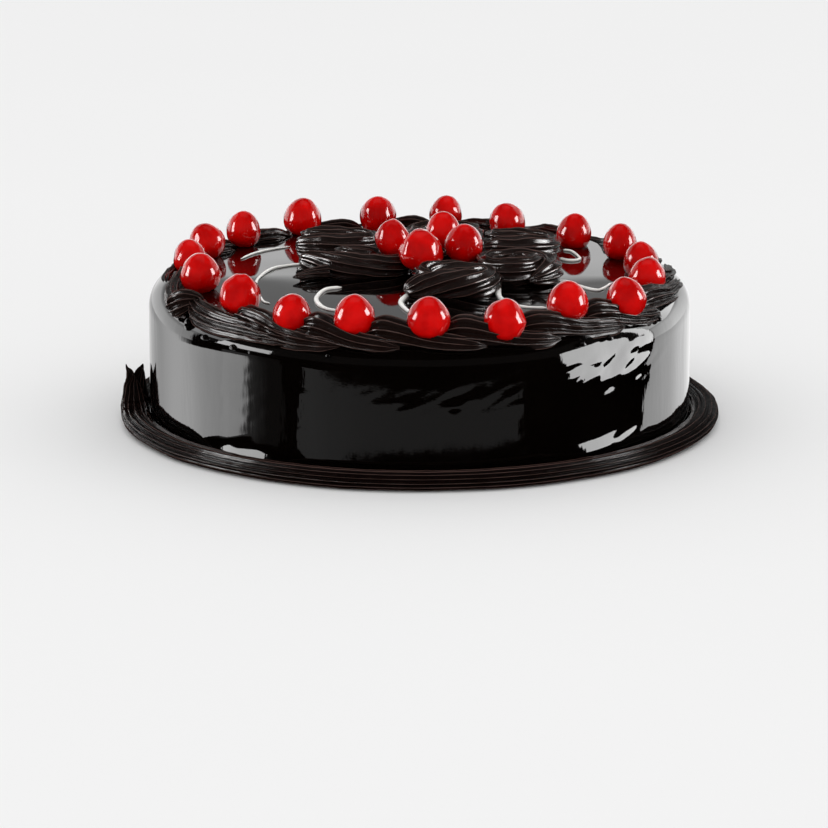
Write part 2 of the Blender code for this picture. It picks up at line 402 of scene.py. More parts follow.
def cherry_material():
    material, g, shader = new_material("glace_cherry", ior=1.5, specular_ior_level=0.3,
                                       coat_weight=1.0, coat_roughness=0.03)
    place = g.add("ShaderNodeTexCoord", out="Object")
    cloud = g.noise(place, 110.0, 3.0)
    fine = g.noise(place, 700.0, 2.0)
    g.plug(shader.inputs["Base Color"], g.mix(g.step(cloud, 0.3, 0.7), (0.44, 0.0005, 0.0005, 1),
                                              (0.70, 0.0012, 0.0006, 1)))
    g.plug(shader.inputs["Roughness"], 0.10 + 0.10 * cloud)
    g.plug(shader.inputs["Normal"], g.bump(fine, 0.03 * MM))
    return material


def chocolate_material():
    material, g, shader = new_material("white_chocolate", ior=1.46)
    place = g.add("ShaderNodeTexCoord", out="Object")
    cloud = g.noise(place, 300.0, 3.0)
    g.plug(shader.inputs["Base Color"], g.mix(cloud, (0.94, 0.93, 0.90, 1), (0.87, 0.86, 0.82, 1)))
    g.plug(shader.inputs["Roughness"], 0.22 + 0.2 * cloud)
    g.plug(shader.inputs["Normal"], g.bump(g.noise(place, 900.0), 0.04 * MM))
    return material


# ---------------------------------------------------------------- the glazed body

def stand_out(x, y, z):
    """How far the poured glaze stands out from the turned shape at a point of the wall."""
    turn = math.atan2(y, x)
    deg = math.degrees(turn) % 360.0
    way = turn * CAKE_RADIUS
    slanted = z - TEAR_SLANT * way
    broad = wave(x / BROAD_SIZE, y / BROAD_SIZE, z / BROAD_RISE)
    folds = wave(x / FOLD_SIZE, y / FOLD_SIZE, z / FOLD_RISE + 7.0)
    torn = wave(way / TEAR_LONG, slanted / TEAR_WIDE, 2.0)
    torn += SMALL_TEARS * wave(way / SMALL_TEAR_LONG, slanted / SMALL_TEAR_WIDE, 5.0)

    def near(at_deg, at_z, wide, high):
        off = ((deg - at_deg + 180.0) % 360.0 - 180.0) / wide
        up = (z / MM - at_z) / high
        return math.exp(-off ** 2 - up ** 2)

    push = BROAD_PUSH * broad + FOLD_PUSH * folds
    for *place, amount in SWELLINGS:
        push += amount * near(*place)
    for *place, amount in TORN:
        push += amount * torn * near(*place)
    return push * MM


def build_body(material):
    """A turned shape with the glaze's unevenness: low dome, rounded shoulder and wavy wall."""
    quarter = SHOULDER * math.pi / 2
    wall = GLAZE_TOP - SHOULDER
    profile = [-SHOULDER_START * (1 - i / GLAZE_TOP_ROWS) for i in range(1, GLAZE_TOP_ROWS + 1)]
    profile += [quarter * i / GLAZE_SHOULDER_ROWS for i in range(1, GLAZE_SHOULDER_ROWS + 1)]
    profile += [quarter + wall * i / GLAZE_WALL_ROWS for i in range(1, GLAZE_WALL_ROWS + 1)]

    points = [(0.0, 0.0, GLAZE_TOP)]
    for s in profile:
        radius, height, lean, rise = glaze_point(s)
        for j in range(GLAZE_SEGMENTS):
            turn = TURN * j / GLAZE_SEGMENTS
            x, y = radius * math.cos(turn), radius * math.sin(turn)
            push = stand_out(x, y, height) * lean
            sag = top_sag(x, y) * min(height / wall, 1.0)
            ripple = TOP_RIPPLE * wave(x / TOP_RIPPLE_SIZE, y / TOP_RIPPLE_SIZE, 3.0) * rise
            z = max(height - sag + ripple, 0.0)
            points.append((x + push * math.cos(turn), y + push * math.sin(turn), z))

    # from the middle out and down, then the flat base
    faces = []
    for i in range(len(profile) - 1):
        for j in range(GLAZE_SEGMENTS):
            k = (j + 1) % GLAZE_SEGMENTS
            here, ahead = 1 + i * GLAZE_SEGMENTS, 1 + (i + 1) * GLAZE_SEGMENTS
            faces.append((ahead + j, ahead + k, here + k, here + j))
    faces += [(0, 1 + j, 1 + (j + 1) % GLAZE_SEGMENTS) for j in range(GLAZE_SEGMENTS)]
    last = len(points) - GLAZE_SEGMENTS
    faces.append([last + j for j in reversed(range(GLAZE_SEGMENTS))])

    item = new_mesh("glazed_body", points, faces=faces)
    item.data.polygons.foreach_set("use_smooth", [True] * len(faces))
    item.data.materials.append(material)
    return item


# ---------------------------------------------------------------- piping

FACETS = 6                # of each ridge
GROOVE_LEAST = 0.65       # share of the given depth that every groove has
GROOVE_VARIES = 0.6       # share that is up to chance
PULSE_LENGTH = 7 * MM     # of the hand's squeezes along a rope
LEAST_SIZE = 0.2          # of a rope's end, in mm


def rope_tree():
    """Cream from a star nozzle, swept along guide lines that carry a size and a twist."""
    g = GeometryGraph("piped_rope")
    guides = g.input("Guides", "Geometry")
    ridges = g.input("Ridges", "Int", 8)
    depth = g.input("Ridge Depth", "Float", 0.25)
    sharp = g.input("Sharpness", "Float", 0.9)
    flat = g.input("Flatness", "Float", 1.0)
    dent_size = g.input("Dent Size", "Float", 6 * MM)
    dents = g.input("Dents", "Float", 0.3 * MM)
    fine_size = g.input("Fine Size", "Float", 1.5 * MM)
    fine = g.input("Fine Dents", "Float", 0.08 * MM)
    material = g.input("Material", "Material")

    curve = g.add("GeometryNodeMeshToCurve", {}, {"Mesh": guides})
    curve = g.add("GeometryNodeSetCurveNormal", {"mode": "Z_UP"}, {"Curve": curve})
    curve = g.add("GeometryNodeSetCurveTilt", {}, {"Curve": curve, "Tilt": g.named("twist")})
    along = g.add("GeometryNodeSplineParameter", out="Length")
    curve = g.store(curve, "along", along)

    star = g.add("GeometryNodeCurvePrimitiveCircle", {"mode": "RADIUS"},
                 {"Resolution": ridges * FACETS, "Radius": 1.0})
    index = g.add("GeometryNodeInputIndex")
    number = (index / FACETS).math("FLOOR")
    chance = g.add("ShaderNodeTexWhiteNoise", {"noise_dimensions": "1D"}, {"W": number})
    groove = (index * (math.pi / FACETS)).math("SINE").math("ABSOLUTE")
    reach = 1.0 - depth * (GROOVE_LEAST + GROOVE_VARIES * chance) * groove ** sharp
    x, y, z = g.split(g.scale(g.add("GeometryNodeInputPosition"), reach))
    star = g.place(star, position=g.join(x, y * flat, z))
    star = g.store(star, "ridge", 1.0 - groove)
    star = g.store(star, "around", index)

    swept = g.add("GeometryNodeCurveToMesh", {},
                  {"Curve": curve, "Profile Curve": star, "Scale": g.named("size"), "Fill Caps": True})
    swept = g.uneven(swept, dent_size, dents)
    swept = g.uneven(swept, fine_size, fine)
    # nothing goes below the cake's own base
    x, y, z = g.split(g.add("GeometryNodeInputPosition"))
    g.finish(g.place(swept, position=g.join(x, y, z.math("MAXIMUM", 0.0))), material)
    return g


def pipe(name, routes, tree, material, pulse=0.0, **sizes):
    """Pipe cream along routes, whose rows are x, y, z, size and twist, in metres and radians.

    Pulse is how much the size goes up and down on the way, as the hand presses and lets go.
    """
    points, edges, size, twist = [], [], [], []
    for number, route in enumerate(routes):
        start = len(points)
        points += [tuple(row[:3]) for row in route]
        gone = np.cumsum([0.0] + [math.dist(a[:3], b[:3]) for a, b in zip(route, route[1:])])
        beats = [wave(way / PULSE_LENGTH, number * 5.3, 1.0) for way in gone]
        size += [row[3] * (1.0 + pulse * beat) for row, beat in zip(route, beats)]
        twist += [row[4] for row in route]
        edges += [(i, i + 1) for i in range(start, len(points) - 1)]
    item = new_mesh(name, points, edges=edges, values={"size": size, "twist": twist})
    return grow(item, tree, material=material, **sizes)


BEAD_RADIUS = 107.2 * MM
BEAD_MIDDLE = 3.3 * MM
BEAD_SIZE = 5.6 * MM
BEAD_SEAM_DEG = 180.0
BEAD_GAP_DEG = 1.6        # from the seam to each end
BEAD_STEPS = 460
BEAD_WAVE = 0.35 * MM     # how far it strays in and out
BEAD_WAVES = 6            # of that straying to the length of its radius
BEAD_SWELL = 0.03         # share by which its size varies
BEAD_END_STEPS = 6        # points to each stretch of a drawn-up end
BEAD_LAP = 3              # points of the ring that make way for each end

# The two ends, from the drawn-up point down: x, y and z from the origin, and size, in mm
BEAD_START = (
    (-110.6, -0.7, 20.4, 0.15), (-110.2, -0.9, 19.0, 0.8), (-109.2, -1.1, 17.2, 2.2),
    (-108.6, -1.3, 13.6, 3.2), (-108.0, -2.3, 9.2, 4.3), (-107.6, -3.5, 5.6, 5.2),
)
BEAD_END = (
    (-104.3, 1.0, 20.2, 0.15), (-104.8, 1.5, 18.8, 1.1), (-105.6, 1.9, 17.0, 2.3),
    (-106.2, 2.5, 13.2, 3.2), (-106.8, 3.4, 9.0, 4.3), (-107.2, 4.5, 5.4, 5.2),
)


def build_bead(tree, material):
    """The foot's bead, once round, drawn up to a point at both ends on the left."""
    ring = []
    for i in range(BEAD_STEPS + 1):
        gone = BEAD_GAP_DEG + (360.0 - 2 * BEAD_GAP_DEG) * i / BEAD_STEPS
        turn = math.radians(BEAD_SEAM_DEG + gone)
        stray = wave(BEAD_WAVES * math.cos(turn), BEAD_WAVES * math.sin(turn), 2.0)
        radius = BEAD_RADIUS + BEAD_WAVE * stray
        size = BEAD_SIZE * (1 + BEAD_SWELL * stray)
        ring.append((radius * math.cos(turn), radius * math.sin(turn), BEAD_MIDDLE, size, 0.0))
    start, end = ([(x * MM, y * MM, z * MM, size * MM, 0.0) for x, y, z, size in rows]
                  for rows in (BEAD_START, BEAD_END[::-1]))
    route = catmull(start, BEAD_END_STEPS).tolist()
    route += ring[BEAD_LAP:-BEAD_LAP]
    route += catmull(end, BEAD_END_STEPS).tolist()
    return pipe("piped_bead", [route], tree, material, ridges=13, ridge_depth=0.40, flatness=0.62,
                sharpness=0.65, dents=0.25 * MM, dent_size=8 * MM, fine_dents=0.04 * MM)


def cherry_angles():
    """Angles of the ring's cherries, in degrees, in order."""
    angles = []
    for name in RING_CHERRIES:
        low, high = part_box(name)
        middle = (low + high) / 2
        angles.append(math.degrees(math.atan2(middle.y, middle.x)) % 360.0)
    return sorted(angles)


SEAM_DEG = 208.0

# How far the border strays over the shoulder: angle, mm outwards
STRAY = (
    (0, -2.5), (90, -1.5), (150, -2.5), (185, -4.5), (199, -2.3), (208, 1.0), (218, 3.0), (230, 3.6),
    (240, 2.6), (250, 0.8), (275, 0.0), (296, 0.7), (311, -0.8), (328, 0.6), (338, -0.5), (350, -2.5),
    (360, -2.5),
)

# How plump the border is round the cake: angle, factor
PLUMPNESS = (
    (0, 0.85), (40, 0.74), (90, 0.68), (140, 0.72), (170, 0.80), (192, 0.95), (210, 1.0), (335, 1.0),
    (360, 0.85),
)

# One shell: share of the way to the next cherry, distance over the shoulder, lift and size in mm,
# and share by which the size varies from shell to shell
SHELL = (
    (0.14, -1.6, -3.6, 0.5, 0.0),
    (0.21, -1.4, -2.8, 3.6, 0.0),
    (0.30, -1.1, -2.1, 5.8, 0.10),
    (0.41, -0.5, -1.8, 7.0, 0.10),
    (0.53, 0.3, -1.8, 7.0, 0.10),
    (0.66, 1.4, -2.0, 6.4, 0.0),
    (0.80, 2.8, -2.4, 5.6, 0.0),
    (0.95, 4.6, -2.8, 4.9, 0.0),
    (1.12, 6.2, -2.9, 4.5, 0.0),
    (1.32, 7.5, -2.6, 4.0, 0.0),
    (1.54, 8.4, -2.3, 3.2, 0.0),
    (1.72, 8.9, -2.1, 0.4, 0.0),
)
SHELL_STEPS = 4           # points to each stretch of a shell or a stroke
SHELL_STRAY = 0.5         # mm by which one shell lies further out than another
SHELL_TWIST = 0.12        # turn of the ridges along a shell, and from shell to shell
SHELL_TWIST_VARIES = 0.6

# The first squeeze at the seam, spread outwards: angle, distance over the shoulder, lift and size
# in mm
SEAM_FAN = (
    (211.0, -0.5, -1.0, 0.5),
    (209.6, 1.4, 0.6, 2.4),
    (208.0, 3.6, 1.1, 4.0),
    (206.6, 5.8, 0.8, 4.9),
    (205.4, 7.8, 0.0, 4.8),
    (204.5, 9.2, -0.8, 3.2),
    (204.2, 9.9, -1.2, 0.5),
)
# The cream behind it, between the two cherries
SEAM_FILL = (
    (198.5, 2.0, -2.4, 0.5),
    (200.5, 2.4, -1.8, 3.0),
    (203.5, 2.6, -1.6, 4.0),
    (207.5, 2.4, -1.8, 3.9),
    (211.5, 2.0, -2.2, 3.3),
    (215.0, 1.6, -2.6, 0.5),
)
# The stroke that begins there and runs off to the right
SEAM_STROKE = (
    (207.0, 0.0, -2.0, 0.5),
    (208.6, 1.5, -1.0, 2.0),
    (211.0, 3.6, -0.8, 3.8),
    (214.4, 5.8, -1.2, 5.0),
    (218.5, 7.2, -1.6, 5.4),
    (223.0, 7.8, -2.0, 5.2),
    (228.0, 7.8, -2.2, 4.8),
    (233.5, 8.2, -2.3, 4.2),
    (239.5, 8.8, -2.2, 3.4),
    (244.0, 9.2, -2.1, 0.5),
)


def build_border(tree, material):
    """One shell from each cherry past the next: a plump head, then a tail drawn under it."""
    joints = sorted(cherry_angles() + [SEAM_DEG])
    routes = []
    for i, start in enumerate(joints):
        end = joints[(i + 1) % len(joints)]
        if SEAM_DEG in (start, end):
            continue
        end += 360.0 if end <= start else 0.0
        plump = wave(i * 3.7, 1.0, 5.0)
        lean = wave(i * 2.3, 8.0, 5.0)
        stops = [(share, s, lift, size * (1.0 + varies * plump))
                 for share, s, lift, size, varies in SHELL]
        route = []
        for share, s, lift, size in catmull(stops, SHELL_STEPS):
            deg = start + (end - start) * share
            stray = np.interp(deg % 360.0, *zip(*STRAY)) + SHELL_STRAY * lean
            full = np.interp(deg % 360.0, *zip(*PLUMPNESS))
            route.append((*over_glaze(deg, (s + stray) * MM, lift * MM),
                          max(size * full, LEAST_SIZE) * MM,
                          SHELL_TWIST * share + SHELL_TWIST_VARIES * lean))
        routes.append(route)
    for stroke in (SEAM_FILL, SEAM_FAN, SEAM_STROKE):
        rows = [(*over_glaze(deg, s * MM, lift * MM), size * MM, 0.0) for deg, s, lift, size in stroke]
        routes.append(catmull(rows, SHELL_STEPS))
    return pipe("piped_border", routes, tree, material, pulse=0.10, ridges=11, ridge_depth=0.35,
                sharpness=0.8, dents=0.45 * MM, dent_size=5 * MM, fine_dents=0.05 * MM)


# Routes of the rosettes, each from its middle: right, back, height over the glaze and size, in mm
FRONT_SHELL = (
    (-17.5, -9, 2.0, 0.5), (-15.5, -8.8, 2.5, 3.6), (-10.5, -8, 2.9, 5.4), (-3, -7.5, 3.1, 6.3),
    (5, -7.1, 3.1, 6.4), (11, -5, 3.1, 5.9), (13.5, 0.5, 3.3, 5.4), (10, 6, 3.7, 5.0),
    (3, 7.5, 4.5, 4.9), (-5, 6.5, 5.2, 4.7), (-10.5, 2.5, 5.2, 4.3), (-9, -1.8, 5.0, 3.2),
    (-4, -2, 5.2, 1.6), (-1, -1.5, 5.2, 0.4),
)
RIGHT_CURL = (
    (3, -12, 1.8, 0.5), (7, -10.5, 2.6, 3.4), (10.5, -5.5, 3.4, 5.2), (10.5, 1.5, 3.8, 5.6),
    (6, 7.5, 4.2, 5.4), (-2, 9, 4.6, 5.2), (-9.5, 6, 4.6, 5.2), (-13, -0.5, 4.4, 5.2),
    (-10, -6.5, 4.2, 5.4), (-3, -8.5, 4.4, 5.8), (3, -6, 5.0, 5.0), (5, -0.5, 6.0, 4.0),
    (1.5, 3.5, 6.8, 3.1), (-2.5, 2.5, 7.2, 2.2), (-1.5, 0, 7.2, 0.5),
)
BACK_RIGHT_HAIRPIN = (
    (-14, -1, 3.8, 0.6), (-10, -2.5, 4.2, 4.0), (-4, -4, 4.2, 5.6), (4, -4, 4.2, 6.0),
    (10.5, -1, 4.2, 5.8), (12, 5, 4.2, 5.4), (7, 10, 4.2, 5.4), (-1, 11, 4.4, 5.4),
    (-8, 8, 5.0, 5.0), (-7, 3, 6.2, 4.4), (0, 2, 6.8, 3.8), (6, 4, 6.4, 2.6), (4, 6.5, 6.0, 0.4),
)
BACK_COIL = (
    (14, -8, 3.4, 0.6), (9, -9, 3.8, 4.4), (1, -9, 3.8, 5.8), (-7, -7, 3.8, 6.0),
    (-11.5, 0, 3.8, 5.6), (-8, 7, 3.8, 5.6), (1, 9.5, 4.0, 5.6), (9, 7, 4.2, 5.2),
    (11, 1, 4.8, 4.6), (6, -2.5, 6.0, 4.0), (-1, -2, 6.4, 3.4), (-2, 2, 6.0, 2.0), (1, 3, 5.6, 0.4),
)
BACK_LEFT_HAIRPIN = (
    (-21.5, 0, 4.2, 0.6), (-20, -0.5, 4.4, 3.9), (-13, -2, 4.4, 5.4), (-5, -2.5, 4.4, 6.0),
    (3, -1.5, 4.4, 5.8), (7, 3, 4.4, 5.4), (4, 8.5, 4.4, 5.4), (-4, 11, 4.6, 5.6),
    (-12, 11, 4.8, 5.4), (-17, 7, 5.4, 4.8), (-13, 3.5, 6.6, 4.0), (-5, 4, 7.0, 3.6),
    (0, 5.5, 6.6, 2.4), (-2, 7.5, 6.2, 0.4),
)
LEFT_SHELL = (
    (-20, 14, 5.0, 0.4), (-18.5, 13.5, 4.8, 3.2), (-13.5, 12, 4.2, 4.6), (-7, 9.5, 3.4, 5.6),
    (0, 8, 3.2, 6.0), (7, 7.5, 3.2, 5.5), (14, 8, 3.2, 4.9), (18, 12, 3.2, 4.6),
    (17, 18, 3.4, 4.4), (10, 22, 3.8, 4.4), (2, 22, 4.4, 4.2), (-4, 18.5, 5.2, 3.9),
    (0, 14.5, 6.2, 3.3), (6, 14.5, 6.4, 2.6), (8, 17.5, 6.0, 1.6), (5, 19, 5.6, 0.4),
)
LEFT_TAIL = ((-9, 4, 2.6, 2.6), (-14, 2.5, 2.2, 2.2), (-18, 1, 1.7, 1.5), (-22, -1, 1.4, 0.4))

ROSETTE_STEPS = 8         # points to each stretch of a route

# Each rope of cream on top: its rosette, its route and its turns of twist
ROSETTE_ROPES = (
    (0, FRONT_SHELL, -0.8),
    (1, RIGHT_CURL, 0.1),
    (2, BACK_RIGHT_HAIRPIN, 0.1),
    (3, BACK_COIL, 0.1),
    (4, BACK_LEFT_HAIRPIN, 0.1),
    (5, LEFT_SHELL, 0.5),
    (5, LEFT_TAIL, 0.1),
)


def build_rosettes(tree, material):
    routes = []
    for number, stops, twist in ROSETTE_ROPES:
        low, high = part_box(ROSETTES[number])
        middle = (low + high) / 2
        rows = catmull(stops, ROSETTE_STEPS)
        route = []
        for i, (x, y, height, size) in enumerate(rows):
            route.append((middle.x + x * MM, middle.y + y * MM, GLAZE_TOP + height * MM,
                          max(size, LEAST_SIZE) * MM, twist * TURN * i / len(rows)))
        routes.append(route)
    return pipe("piped_rosettes", routes, tree, material, pulse=0.12, ridges=10, ridge_depth=0.22,
                sharpness=0.9, dents=0.7 * MM, dent_size=8 * MM, fine_dents=0.05 * MM)


DOLLOP_STOPS = 10
DOLLOP_STEPS = 6                               # points from stop to stop
DOLLOP_FROM = 1.0                              # radians at its start
DOLLOP_TURNS = 1.3
DOLLOP_INNER, DOLLOP_OUTER = 1 * MM, 9 * MM
DOLLOP_HEIGHT = 2.2 * MM
DOLLOP_SIZE, DOLLOP_END = 5.4 * MM, 1.0 * MM


def build_dollop(tree, material):
    """A loose coil of cream under the middle cherries."""
    low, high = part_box("centre_dollop")
    middle = (low + high) / 2
    stops = []
    for i in range(DOLLOP_STOPS + 1):
        t = i / DOLLOP_STOPS
        turn = DOLLOP_FROM + DOLLOP_TURNS * TURN * t
        out = DOLLOP_INNER + (DOLLOP_OUTER - DOLLOP_INNER) * t
        size = DOLLOP_SIZE if 0 < i < DOLLOP_STOPS else DOLLOP_END
        stops.append((middle.x + out * math.cos(turn), middle.y + out * math.sin(turn),
                      GLAZE_TOP + DOLLOP_HEIGHT, size, t))
    return pipe("piped_dollop", [catmull(stops, DOLLOP_STEPS)], tree, material, pulse=0.10, ridges=12,
                ridge_depth=0.22, sharpness=0.8, dents=0.4 * MM, fine_dents=0.05 * MM)


# ---------------------------------------------------------------- cherries

WRINKLE_SIZE = 8 * MM
LEAST_WRINKLE, MOST_WRINKLE = 0.2 * MM, 1.5 * MM
CHERRY_TALL = (7.2, 0.56)     # height in mm: this much, and this share of the width
CHERRY_LEAN = 0.22            # radians, forwards or back
CHERRY_TURN = 2.4             # radians about its own axis from one cherry to the next


def cherry_tree():
    """Egg-shaped cherries on points that carry a size, a lean and a wrinkle."""
    g = GeometryGraph("cherries")
    spots = g.input("Spots", "Geometry")
    segments = g.input("Segments", "Int", 36)
    rings = g.input("Rings", "Int", 26)
    taper = g.input("Taper", "Float", 0.12)
    material = g.input("Material", "Material")

    egg = g.add("GeometryNodeMeshUVSphere", {}, {"Segments": segments, "Rings": rings, "Radius": 1.0})
    x, y, z = g.split(g.add("GeometryNodeInputPosition"))
    narrow = 1.0 - taper * z
    egg = g.place(egg, position=g.join(x * narrow, y * narrow, z))
    turned = g.add("FunctionNodeEulerToRotation", {}, {0: g.named("lean", "FLOAT_VECTOR")})
    set_out = g.add("GeometryNodeInstanceOnPoints", {}, {
        "Points": spots, "Instance": egg, "Rotation": turned, "Scale": g.named("size", "FLOAT_VECTOR")})
    loose = g.add("GeometryNodeRealizeInstances", {}, {"Geometry": set_out})
    g.finish(g.uneven(loose, WRINKLE_SIZE, g.named("wrinkle")), material)
    return g


# Width of each cherry in mm, its lean to the right in radians, and how wrinkled it is, from 0 to 1
CHERRY_SHAPES = {
    "ring_cherry_01": (13.7, -0.10, 0.3), "ring_cherry_02": (13.0, 0.00, 0.3),
    "ring_cherry_03": (13.4, 0.00, 0.3), "ring_cherry_04": (14.2, -0.38, 0.5),
    "ring_cherry_05": (12.6, -0.22, 0.4), "ring_cherry_06": (14.2, 0.08, 0.4),
    "ring_cherry_07": (14.7, 0.00, 0.3), "ring_cherry_08": (13.2, 0.14, 0.4),
    "ring_cherry_09": (13.4, -0.32, 0.5), "ring_cherry_10": (13.0, 0.22, 0.4),
    "ring_cherry_11": (15.0, -0.06, 0.3), "ring_cherry_12": (15.6, 0.04, 1.0),
    "ring_cherry_13": (14.1, 0.00, 0.3), "ring_cherry_14": (15.1, 0.05, 0.4),
    "ring_cherry_15": (15.6, 0.05, 0.3), "ring_cherry_16": (15.7, 0.08, 0.6),
    "ring_cherry_17": (15.3, 0.12, 0.3), "ring_cherry_18": (14.7, 0.16, 0.4),
    "ring_cherry_19": (13.8, 0.12, 0.4),
    "centre_cherry_1": (13.2, -0.12, 0.8), "centre_cherry_2": (16.4, 0.00, 1.0),
    "centre_cherry_3": (13.3, 0.02, 0.4), "centre_cherry_4": (14.4, 0.04, 0.3),
}


def build_cherries(name, nodes, tree, material):
    spots, sizes, leans, wrinkles = [], [], [], []
    for i, node in enumerate(nodes):
        low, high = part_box(node)
        wide, lean, wrinkle = CHERRY_SHAPES[node]
        tall = CHERRY_TALL[0] + CHERRY_TALL[1] * wide
        spots.append(((low.x + high.x) / 2, (low.y + high.y) / 2, high.z - tall * MM / 2))
        sizes.append((wide * MM / 2, wide * MM / 2, tall * MM / 2))
        leans.append((CHERRY_LEAN * wave(i * 1.7, 4.0, 2.0), lean, CHERRY_TURN * i))
        wrinkles.append(LEAST_WRINKLE + (MOST_WRINKLE - LEAST_WRINKLE) * wrinkle)
    item = new_mesh(name, spots, values={"size": sizes, "lean": leans, "wrinkle": wrinkles})
    return grow(item, tree, material=material)


# ---------------------------------------------------------------- white chocolate

LINE_LIFT = 0.35 * MM     # of its middle over the glaze
LINE_TIP = 0.15           # share of its thickness at the tips
LINE_TAPER = 3            # points over which it grows to its full thickness
LINE_STEPS = 10           # points to each stretch
LINE_DENT_SIZE, LINE_DENTS = 3 * MM, 0.15 * MM

# Each line: right, back and half thickness, in mm
WHITE_LINES = (
    ((-68, 27, 0.3), (-64, 36, 0.45), (-58, 43, 0.45), (-50, 49, 0.35)),
    ((-55, -42, 0.3), (-58, -37, 0.4), (-61, -16, 0.5), (-59, -1, 0.6), (-55, 10, 0.6),
     (-49, 15, 0.45), (-43, 17, 0.6)),
    ((-29, -23, 0.75), (-35, -26, 0.7), (-38, -37, 0.85), (-37, -46, 0.9), (-34, -52, 0.6),
     (-30, -55, 0.5)),
    ((-2, -34, 0.8), (-5, -37, 0.8), (-7, -46, 0.9), (-5, -55, 0.7), (-3, -59, 0.6)),
    ((29, -26, 1.3), (29, -31, 1.15), (30, -39, 0.8), (34, -46, 0.6), (39, -49, 0.5), (47, -49, 0.5)),
    ((51, -12, 0.5), (55, -12, 0.5), (60, -19, 0.6), (65, -23, 0.6), (68, -21, 0.5), (72, -12, 0.4)),
    ((53, 27, 0.7), (56, 24, 0.6), (59, 24, 0.6), (61, 27, 0.55), (60, 34, 0.5), (58, 41, 0.5),
     (55, 43, 0.4)),
)


def line_tree():
    """Thin piped lines of round section."""
    g = GeometryGraph("piped_lines")
    guides = g.input("Guides", "Geometry")
    sides = g.input("Sides", "Int", 12)
    material = g.input("Material", "Material")
    curve = g.add("GeometryNodeMeshToCurve", {}, {"Mesh": guides})
    ring = g.add("GeometryNodeCurvePrimitiveCircle", {"mode": "RADIUS"},
                 {"Resolution": sides, "Radius": 1.0})
    swept = g.add("GeometryNodeCurveToMesh", {},
                  {"Curve": curve, "Profile Curve": ring, "Scale": g.named("size"), "Fill Caps": True})
    g.finish(g.uneven(swept, LINE_DENT_SIZE, LINE_DENTS), material)
    return g


def build_lines(tree, material):
    routes = []
    for line in WHITE_LINES:
        rows = catmull([(x * MM, y * MM, half * MM) for x, y, half in line], LINE_STEPS)
        route = []
        for i, (x, y, half) in enumerate(rows):
            from_end = min(i, len(rows) - 1 - i) / LINE_TAPER
            size = half * min(1.0, LINE_TIP + from_end)
            route.append((x, y, GLAZE_TOP - top_sag(x, y) + LINE_LIFT, size, 0.0))
        routes.append(route)
    return pipe("white_chocolate_lines", routes, tree, material)


# Drops of glaze under the border: angle, distance over the shoulder, half width and half height,
# in mm
DRIPS = (
    (212.5, 12.2, 1.5, 2.4), (219.5, 14.8, 1.9, 1.0), (228.5, 15.8, 2.3, 1.2), (233, 16.4, 1.2, 0.8),
    (251, 14.0, 1.0, 0.7), (305.5, 13.0, 1.6, 1.0), (313, 12.8, 1.5, 1.0), (331, 11.2, 1.6, 1.1),
)
DRIP_SUNK = 0.4           # share of its half width by which its middle lies inside the glaze


def build_drips(tree, material):
    spots, sizes = [], []
    for deg, s, wide, tall in DRIPS:
        spots.append(over_glaze(deg, s * MM, -DRIP_SUNK * wide * MM))
        sizes.append((wide * MM, wide * MM, tall * MM))
    values = {"size": sizes, "lean": [(0.0, 0.0, 0.0)] * len(DRIPS),
              "wrinkle": [LEAST_WRINKLE] * len(DRIPS)}
    return grow(new_mesh("glaze_drips", spots, values=values), tree, material=material)


# ---------------------------------------------------------------- studio

# Camera
CAMERA_AIM = Vector((-0.0021, 0.0032, 0.0))
CAMERA_DISTANCE = 2.0
CAMERA_RISE_DEG = 14.19
CAMERA_LENS = 229.8
SENSOR = 36.0

FLOOR_HALF = 6.0


def build_floor():
    corners = ((-1, -1), (1, -1), (1, 1), (-1, 1))
    item = new_mesh("floor", [(FLOOR_HALF * x, FLOOR_HALF * y, 0.0) for x, y in corners],
                    faces=[(0, 1, 2, 3)])
    material, g, shader = new_material("pale_floor", roughness=0.9)
    grain = g.noise(g.add("ShaderNodeTexCoord", out="Object"), 3.0)
    g.plug(shader.inputs["Base Color"], g.mix(grain, (0.86, 0.86, 0.86, 1), (0.88, 0.88, 0.88, 1)))
    item.data.materials.append(material)
    item.visible_glossy = False


# The cards, in metres, and in degrees to the right of the front
CARD_DISTANCE = 1.2
NEAR_CARD = 0.36          # distance of the ones just outside the foot
FAR_CARD = 1.5            # distance of the dim room
CARD_TOP = 1.1
HORIZON = -0.06           # where the wall's glaze sees the backdrop begin
BACK = (108, 252)
OVERHEAD_HIGH = 1.6
OVERHEAD_SIDES = (-0.7, 0.7)
OVERHEAD_BACK = (-0.2, 1.0)

# The backdrop is bright low down, and falls off over an edge that lies higher at the right
BACKDROP_GLOW, BACKDROP_HIGH_GLOW = 1.25, 0.46
EDGE_LOW, EDGE_HIGH = 0.28, 0.43
EDGE_MIDDLE, EDGE_HALF = 0.347, 0.055
EDGE_STEP = 0.018         # how much higher at the right
EDGE_STEP_WAYS = (176.0, 183.0)


def backdrop_edge(t, up):
    """Glow of the backdrop's edge, at shares of its way round and of its height."""
    way, height = BACK[0] + (BACK[1] - BACK[0]) * t, EDGE_LOW + (EDGE_HIGH - EDGE_LOW) * up
    middle = EDGE_MIDDLE + EDGE_STEP * (1.0 - ease(way, *EDGE_STEP_WAYS))
    fall = ease(height, middle - EDGE_HALF, middle + EDGE_HALF)
    return BACKDROP_GLOW - (BACKDROP_GLOW - BACKDROP_HIGH_GLOW) * fall


def fade(strength, start, end):
    """A glow that fades out between two shares of the way."""
    return lambda t, up: strength * (1.0 - ease(t, start, end))


